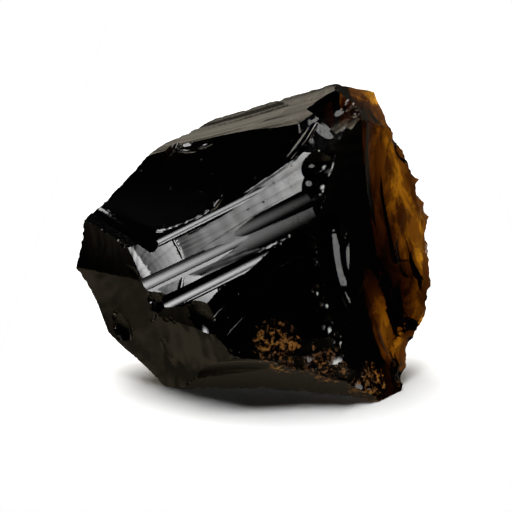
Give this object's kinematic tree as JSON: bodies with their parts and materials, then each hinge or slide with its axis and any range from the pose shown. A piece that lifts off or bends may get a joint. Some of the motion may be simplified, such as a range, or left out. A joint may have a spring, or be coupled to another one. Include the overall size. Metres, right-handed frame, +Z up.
{
  "type": "obsidian chunk",
  "caption": "Angular chunk of black volcanic glass with dished flake scars, sharp ridges and a thin chipped edge that glows amber.",
  "frame": {"origin": "on the flat face it rests on, under the middle of its bounding box", "axes": "+Z up, -Y towards the front with the long light-catching flake scar, +X towards the thin amber edge"},
  "size_m": [0.0708, 0.037, 0.0565],
  "materials": {
    "obsidian": "glossy fractured volcanic glass, black where thick and amber where thin"
  },
  "bodies": {
    "root": {"obsidian_chunk": "obsidian"}
  },
  "joints": []
}
